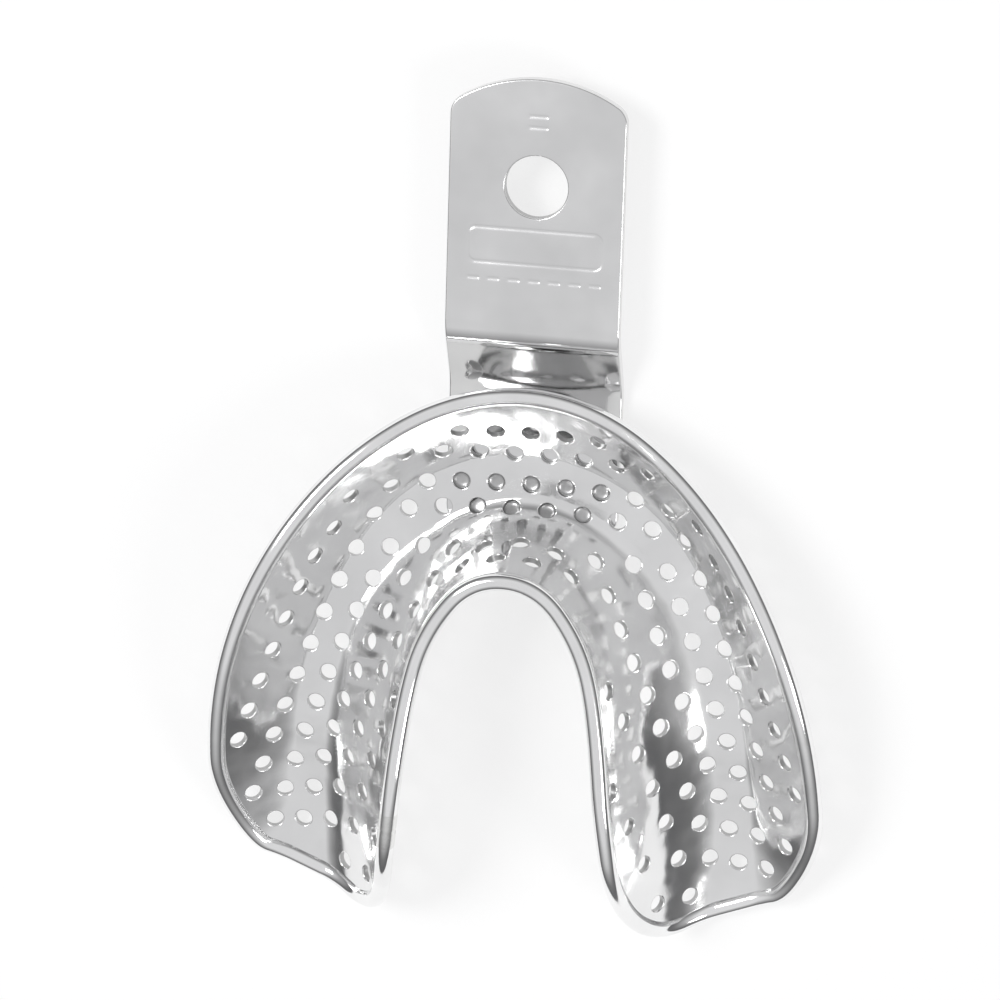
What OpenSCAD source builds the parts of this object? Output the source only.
// Perforated lower-jaw impression tray: a pressed sheet trough with a rim wire along its whole
// edge and a flat strip handle soldered under its front.
//
// +Z is up with the trough open upwards, +Y points along the handle, and the tray is symmetric
// about the plane X = 0.  The origin is at the bottom centre of the whole tray.

/* [Arch] */
// Half the width of the trough across its outer sheet edges
arch_half_width = 33; // [30:0.1:37]
// Length of the half ellipse that the outer sheet edge follows
arch_reach = 46.4; // [43:0.1:50]
// Distance from the centre of that ellipse back to the origin
arch_centre_back = 33.4; // [30:0.1:36]
// Angle on the ellipse where the outer sheet edge ends
arch_end_angle = 99; // [94:0.5:102]
// Width between the lingual sheet edges, half way along the legs
tongue_width = 21.6; // [18:0.1:24]
// Depth of the tongue gap, from its front to the leg ends
tongue_depth = 44; // [40:0.1:46]

/* [Heights] */
// Height of the trough floor above the table, at the front
front_floor = 1.7; // [1.7:0.05:2.2]
// How much higher the floor is at the molars than at the front
floor_rise = 2.6; // [0:0.1:4]
// Height of the lingual sheet edge
lingual_top = 15.6; // [12:0.1:18]
// Height of the outer sheet edge at the front
front_top = 5.8; // [5:0.1:10]
// Height of the outer sheet edge at the molars
side_top = 12.4; // [9:0.1:15]

/* [Sheet and wire] */
// Thickness of the pressed sheet
sheet = 0.8; // [0.5:0.05:1]
// Diameter of the rim wire
wire_d = 2; // [1.6:0.05:2.4]
// Distance from the wire's centre to the flat that is soldered to the sheet edge
wire_flat = 0.5; // [0.3:0.05:0.6]

/* [Perforations] */
// Diameter of a perforation
hole_d = 1.9; // [1.2:0.05:2.4]
// Spacing of the perforations along a row, at the front
hole_pitch = 3.85; // [3.4:0.05:4.6]
// Spacing of the rows
row_pitch = 3.7; // [3.2:0.05:4.4]
// Sheet that is left between a perforation and the rim
hole_land = 0.9; // [0.8:0.1:2.5]

/* [Handle] */
// Width of the handle strip
handle_width = 19; // [16:0.1:22]
// Thickness of the handle strip
handle_thickness = 1.3; // [1:0.05:1.3]
// Distance from the origin to the tip of the handle
handle_tip = 47.9; // [44:0.1:54]
// Height of the middle of the flat grip above the table
grip_height = 4.2; // [2:0.1:6]
// Diameter of the hanging hole
hanging_hole_d = 6.8; // [4:0.1:8]
// Distance from the tip of the handle to the middle of the hanging hole
hanging_hole_inset = 11.7; // [8:0.1:16]

/* [Hidden] */

steel = [0.78, 0.79, 0.80];
solder = [0.62, 0.62, 0.60];
tiny = 0.001;
half_sheet = sheet / 2;
// Longer than any cut through the sheet or the strip
cutter = 20;

// --- Guide curves, from the middle of the front (t = 0) to a leg end (t = 1) ---

// Quadratic B-spline with even knots and clamped ends, u running from 0 to 1
function spline(points, u) =
    let (
        spans = len(points) - 2,
        k = min(spans - 1, max(0, floor(u * spans))),
        f = u * spans - k,
        a = k == 0 ? points[0] : (points[k] + points[k + 1]) / 2,
        b = points[k + 1],
        c = k == spans - 1 ? points[k + 2] : (points[k + 1] + points[k + 2]) / 2
    )
    a * (1 - f) * (1 - f) + b * 2 * f * (1 - f) + c * f * f;

// Front of the tongue gap, at the lingual sheet edge
gap_front = -4.1;
gap_half = tongue_width / 2;
lingual_plan = [
    [0, gap_front],
    [gap_half - 7.2, gap_front],
    [gap_half - 2.4, gap_front - 6.3],
    [gap_half - 0.3, gap_front - 13.9],
    [gap_half + 1.3, gap_front - 29.4],
    [gap_half + 3.1, gap_front - tongue_depth]
];
lingual_heights = [for (rise = [0, 0, 0, 0.3, 1.4, -4.8]) lingual_top + rise];
outer_heights = [front_top, front_top, side_top - 2.6, side_top, side_top - 4.6, 3.6];
floor_heights = [for (share = [0, 0, 0, 0, 0.7, 1, 0, -0.15]) front_floor + floor_rise * share];

// A point that makes the lingual wall steep at its top, as shares of its run and of its height
wall_run_share = 0.12;
wall_height_share = 0.55;

// Plan width of the sloping lingual wall and of the outer flange
lingual_runs = [3.3, 3.3, 5.5, 9, 8.7, 7.1];
outer_runs = [5.6, 5.6, 4.8, 5.8, 6.1, 5.2];

function outer_plan(t) =
    let (angle = arch_end_angle * t)
    [arch_half_width * sin(angle), arch_reach * cos(angle) - arch_centre_back];

// Six control points of the section at t, from the lingual edge to the outer edge
function section(t) =
    let (
        inner = spline(lingual_plan, t),
        outer = outer_plan(t),
        width = norm(outer - inner),
        way = (outer - inner) / width,
        floor_z = spline(floor_heights, t),
        lingual_z = spline(lingual_heights, t),
        lingual_run = spline(lingual_runs, t),
        outer_foot = width - spline(outer_runs, t),
        steps = [
            [0, lingual_z],
            [wall_run_share * lingual_run, floor_z + wall_height_share * (lingual_z - floor_z)],
            [lingual_run, floor_z],
            [(lingual_run + outer_foot) / 2, floor_z],
            [outer_foot, floor_z],
            [width, spline(outer_heights, t)]
        ]
    )
    [for (s = steps) [inner.x + way.x * s[0], inner.y + way.y * s[0], s[1]]];

// Middle surface of the sheet.  t runs from -1 to 1 along the arch, s from 0 to 1 across it.
function middle(t, s) =
    let (p = spline(section(abs(t)), s))
    [t < 0 ? -p.x : p.x, p.y, p.z];

function unit(v) = v / norm(v);

function along(t, s) = middle(min(1, t + tiny), s) - middle(max(-1, t - tiny), s);
function across(t, s) = middle(t, min(1, s + tiny)) - middle(t, max(0, s - tiny));

// Unit normal on the trough side
function normal(t, s) =
    let (n = unit(cross(across(t, s), along(t, s))))
    n.z < 0 ? -n : n;

function sheet_point(t, s, side) = middle(t, s) + normal(t, s) * side * half_sheet;

// --- Outline of the sheet, with rounded leg ends ---

// Corner lengths at a leg end, along t and across s
corner_t = 0.13;
lingual_corner = 0.3;
outer_corner = 0.13;

// Cut-off that rounds a corner, 0 away from the leg end and 1 at it
function rounding(t) =
    let (x = max(0, (abs(t) - (1 - corner_t)) / corner_t))
    1 - sqrt(max(0, 1 - x * x));

function first_s(t) = lingual_corner * rounding(t);
function last_s(t) = 1 - outer_corner * rounding(t);

half_stations = 30;
end_stations = 7;
cells = 14;

// Stations along one half: even steps, then steps that close up round the corner
half_ts = concat(
    [for (i = [0 : half_stations - end_stations]) (1 - corner_t) * i / (half_stations - end_stations)],
    [for (i = [1 : end_stations]) 1 - corner_t + corner_t * sin(90 * i / end_stations)]
);
ts = concat([for (i = [half_stations : -1 : 1]) -half_ts[i]], half_ts);
stations = len(ts) - 1;

function cell_s(i, j) = first_s(ts[i]) + (last_s(ts[i]) - first_s(ts[i])) * j / cells;

// --- Tray shell ---

row = cells + 1;
side_count = (stations + 1) * row;
shell_points = [
    for (side = [1, -1], i = [0 : stations], j = [0 : cells])
        sheet_point(ts[i], cell_s(i, j), side)
];

function quad(a, b, c, d) = [[a, b, c], [a, c, d]];

// Grid indices round the outline, in order
outline = concat(
    [for (i = [0 : stations - 1]) [i, 0]],
    [for (j = [0 : cells - 1]) [stations, j]],
    [for (i = [stations : -1 : 1]) [i, cells]],
    [for (j = [cells : -1 : 1]) [0, j]]
);
edge_count = len(outline);

function index(ij, lower) = ij[0] * row + ij[1] + lower * side_count;

shell_faces = [
    for (i = [0 : stations - 1], j = [0 : cells - 1])
        let (
            a = index([i, j], 0),
            b = index([i + 1, j], 0),
            c = index([i + 1, j + 1], 0),
            d = index([i, j + 1], 0)
        )
        each concat(quad(d, c, b, a), quad(a + side_count, b + side_count, c + side_count, d + side_count)),
    for (k = [0 : edge_count - 1])
        let (here = outline[k], next = outline[(k + 1) % edge_count])
        each quad(index(next, 0), index(next, 1), index(here, 1), index(here, 0))
];

// Rows run across the tray and are counted backwards.  The pressing draws the legs in, so the
// pitch closes up backwards.
first_row = -4;
last_row = 11;
columns = [-6 : 9];
leg_draw = 0.0163;

// Rows in front of the lingual wall, as [y at the middle, bow]
front_rows = [[8.7, 0], [5.85, 0], [2.3, 0.004], [-0.5, 0.006]];

// The other rows are level towards the sides and are drawn forwards on the lingual wall
side_row = -6.4;
draw_limit = 20.5;
draw_step = 1.6;
draw_most = 0.0175;
draw_rows = 12;

function row_y(j, x) =
    let (
        front = front_rows[j - first_row],
        draw = draw_most * sin(min(180, 180 * (j + 2) / draw_rows)),
        inside = max(0, draw_limit + draw_step * j - x)
    )
    j < 0
        ? front[0] - front[1] * x * x
        : side_row - row_pitch * j + draw * inside * inside;

function hole_place(i, j) =
    let (x = hole_pitch * (i + j / 2) * (1 - leg_draw * max(0, j)))
    [x, row_y(j, x)];

// What a perforation is placed by: its plan position, or x and height on the steep front wall
function seen(p, by_height) = [p.x, by_height ? p.z : p.y];

// Longest step of the search below, and how near it must come
longest_step = 0.2;
near_enough = 0.05;

// Finds t and s on the right half for such a place, by Newton steps
function locate(place, by_height, t, s, steps) =
    steps == 0
        ? [t, s]
        : let (
            dt = seen(along(t, s), by_height) / (min(1, t + tiny) - max(-1, t - tiny)),
            ds = seen(across(t, s), by_height) / (min(1, s + tiny) - max(0, s - tiny)),
            gap = place - seen(middle(t, s), by_height),
            det = dt.x * ds.y - dt.y * ds.x,
            step_t = (gap.x * ds.y - gap.y * ds.x) / det,
            step_s = (dt.x * gap.y - dt.y * gap.x) / det
        )
        locate(
            place,
            by_height,
            min(1, max(0, t + max(-longest_step, min(longest_step, step_t)))),
            min(1, max(0, s + max(-longest_step, min(longest_step, step_s)))),
            steps - 1
        );

edge_loop = [for (e = outline) middle(ts[e[0]], cell_s(e[0], e[1]))];

function edge_distance(p) = min([for (q = edge_loop) norm(p - q)]);

// A start for the search: the best of a coarse grid
function nearest_start(place) =
    let (
        tries = [for (t = [0.05 : 0.1 : 0.95], s = [0.1 : 0.2 : 0.9])
            [norm(seen(middle(t, s), false) - place), t, s]],
        best = min([for (a = tries) a[0]])
    )
    [for (a = tries) if (a[0] == best) a][0];

// Perforations on the front lingual wall, as [x in pitches, height]
wall_places = [[0, 7.4], [1, 7.4], [0.5, 10.8], [1.5, 9]];
// Where the search for them starts: t for each pitch of x, and s
wall_start_t = 0.12;
wall_start_s = 0.2;
wall_holes = [
    for (w = wall_places)
        let (found = locate([w.x * hole_pitch, w.y], true, w.x * wall_start_t, wall_start_s, 8))
        [middle(found[0], found[1]), normal(found[0], found[1])]
];

// Rows 0 and 1 start beside them, this many pitches from the middle
wall_columns = 1.75;
function row_start(j) = j == 0 || j == 1 ? wall_columns * hole_pitch : -tiny;

// The places on the right half where a perforation fits, as [middle, normal]
plan_holes = [
    for (j = [first_row : last_row], i = columns)
        let (place = hole_place(i, j))
        if (place.x > row_start(j) && place.x < arch_half_width)
            let (
                start = nearest_start(place),
                found = locate(place, false, start[1], start[2], 7),
                p = middle(found[0], found[1])
            )
            if (norm(seen(p, false) - place) < near_enough
                && found[1] > first_s(found[0])
                && found[1] < last_s(found[0])
                && edge_distance(p) > hole_d / 2 + hole_land)
                [p, normal(found[0], found[1])]
];
right_holes = concat(wall_holes, plan_holes);
holes = concat(
    right_holes,
    [for (h = right_holes) if (h[0].x > tiny) [[-h[0].x, h[0].y, h[0].z], [-h[1].x, h[1].y, h[1].z]]]
);

// A cylinder of the given height, centred at p, standing along n and turned by roll about itself
module upright(p, n, d, h, roll = 0) {
    translate(p)
        rotate([0, acos(n.z), atan2(n.y, n.x)])
            rotate([0, 0, roll])
                cylinder(d = d, h = h, center = true, $fn = 24);
}

module tray_shell() {
    color(steel)
        difference() {
            polyhedron(shell_points, shell_faces, convexity = 6);
            for (h = holes) upright(h[0], h[1], hole_d, 3 * sheet);
        }
}

// --- Rim wire: a closed loop of D-shaped rings, the flat against the sheet edge ---

wire_r = wire_d / 2;
flat_angle = acos(wire_flat / wire_r);
arc_steps = 9;

// Outward direction in the sheet at an outline place, square to the edge
function outward(k) =
    let (
        here = outline[k],
        t = ts[here[0]],
        s = cell_s(here[0], here[1]),
        before = edge_loop[(k + edge_count - 1) % edge_count],
        after = edge_loop[(k + 1) % edge_count]
    )
    unit(cross(unit(after - before), normal(t, s)));

// One ring: the two sheet corners, then the arc from one end of the flat to the other
function ring(k) =
    let (
        here = outline[k],
        t = ts[here[0]],
        s = cell_s(here[0], here[1]),
        up = normal(t, s),
        out = outward(k),
        centre = edge_loop[k] + out * wire_flat
    )
    concat(
        [sheet_point(t, s, 1), sheet_point(t, s, -1)],
        [for (a = [0 : arc_steps])
            let (angle = -(180 - flat_angle) + (360 - 2 * flat_angle) * a / arc_steps)
            centre + (out * cos(angle) + up * sin(angle)) * wire_r]
    );

ring_size = arc_steps + 3;

// A swept solid through the rings at the given outline places, capped at both ends
module wire_run(places) {
    rings = [for (a = [0 : len(places) - 1]) each ring(places[a] % edge_count)];
    last = (len(places) - 1) * ring_size;
    polyhedron(
        rings,
        concat(
            [for (a = [0 : len(places) - 2], b = [0 : ring_size - 1])
                let (
                    p = a * ring_size + b,
                    q = a * ring_size + (b + 1) % ring_size
                )
                each quad(p, q, q + ring_size, p + ring_size)],
            [[for (b = [ring_size - 1 : -1 : 0]) b]],
            [[for (b = [0 : ring_size - 1]) last + b]]
        ),
        convexity = 6
    );
}

// The butt joint of the wire is on the lingual side of the left leg
joint_place = 7;

module rim_wire() {
    color(steel) wire_run([for (k = [joint_place + 1 : joint_place + edge_count]) k]);
}

module rim_joint() {
    color(solder) wire_run([joint_place, joint_place + 1]);
}

// --- Handle ---

strip_end = -3.2;
bend_foot = 12.2;
bend_run = 9;
bend_blend = 2.6;
tip_radius = 16;
corner_radius = 2.2;
half_width = handle_width / 2;
hole_y = handle_tip - hanging_hole_inset;

// The ramp between the two bends
ramp_rise = grip_height - handle_thickness / 2;
ramp_slope = ramp_rise / (bend_run - bend_blend);

// Height of the strip's middle at y: flat, bent up, a straight ramp, bent back, and flat again
function strip_z(y) =
    let (
        x = min(bend_run, max(0, y - bend_foot)),
        left = bend_run - x
    )
    handle_thickness / 2 + (
        x < bend_blend
            ? ramp_slope * x * x / (2 * bend_blend)
            : left < bend_blend
                ? ramp_rise - ramp_slope * left * left / (2 * bend_blend)
                : ramp_slope * (x - bend_blend / 2)
    );

bend_steps = 8;
ramp_end = bend_foot + bend_run;
strip_ys = concat(
    [strip_end],
    [for (i = [0 : bend_steps]) bend_foot + bend_blend * i / bend_steps],
    [for (i = [bend_steps : -1 : 0]) ramp_end - bend_blend * i / bend_steps],
    [handle_tip]
);

// Normal of the strip's side view at y
function strip_normal(y) =
    let (slope = (strip_z(y + tiny) - strip_z(y - tiny)) / (2 * tiny))
    [-slope, 1] / norm([slope, 1]);

function strip_side(y, side) = [y, strip_z(y)] + strip_normal(y) * side * handle_thickness / 2;

module strip_profile() {
    polygon(concat(
        [for (y = strip_ys) strip_side(y, 1)],
        [for (i = [len(strip_ys) - 1 : -1 : 0]) strip_side(strip_ys[i], -1)]
    ));
}

function arc(centre, radius, from, to, steps) =
    [for (i = [0 : steps])
        let (angle = from + (to - from) * i / steps)
        centre + radius * [cos(angle), sin(angle)]];

// Right half of the plan outline, from the hidden end to the middle of the shallow arc at the tip
corner_x = half_width - corner_radius;
tip_centre = [0, handle_tip - tip_radius];
corner_angle = acos(corner_x / (tip_radius - corner_radius));
tip_corner = tip_centre + (tip_radius - corner_radius) * [cos(corner_angle), sin(corner_angle)];
right_outline = concat(
    arc([corner_x, strip_end + corner_radius], corner_radius, -90, 0, 8),
    arc(tip_corner, corner_radius, 0, corner_angle, 7),
    arc(tip_centre, tip_radius, corner_angle, 90, 8)
);

module strip_outline() {
    count = len(right_outline);
    polygon(concat(
        right_outline,
        [for (i = [count - 2 : -1 : 0]) [-right_outline[i].x, right_outline[i].y]]
    ));
}

module handle() {
    color(steel)
        difference() {
            intersection() {
                rotate([90, 0, 90]) linear_extrude(height = handle_width, center = true) strip_profile();
                linear_extrude(height = cutter, center = true) strip_outline();
            }
            translate([0, hole_y, 0]) cylinder(d = hanging_hole_d, h = cutter, $fn = 64);
        }
}

// --- Solder in the perforations that the handle strip closes from below ---

// How far below the middle of the sheet the solder stands
plug_drop = 0.1;
// A quarter turn, which keeps the cylinder's seam off the lowest point of the slanting cut
plug_roll = 90;
// How far a closed perforation may be from its row, along Y
row_slack = 1;

// Only the two rows over the flat end of the strip are closed
function over_strip(p) =
    abs(p.x) < half_width - hole_d / 2
    && p.y > front_rows[3][0] - row_slack && p.y < front_rows[2][0] + row_slack;

// Solder from the strip up into the perforation
module plug(h) {
    depth = (h[0].z - handle_thickness) / h[1].z + hole_d;
    intersection() {
        upright(h[0] - h[1] * (plug_drop + depth / 2), h[1], hole_d, depth, plug_roll);
        translate([-half_width, strip_end, handle_thickness])
            cube([handle_width, bend_foot - strip_end, 2 * front_floor]);
    }
}

module solder_plugs() {
    color(solder)
        for (h = holes) if (over_strip(h[0])) plug(h);
}

tray_shell();
rim_wire();
rim_joint();
handle();
solder_plugs();
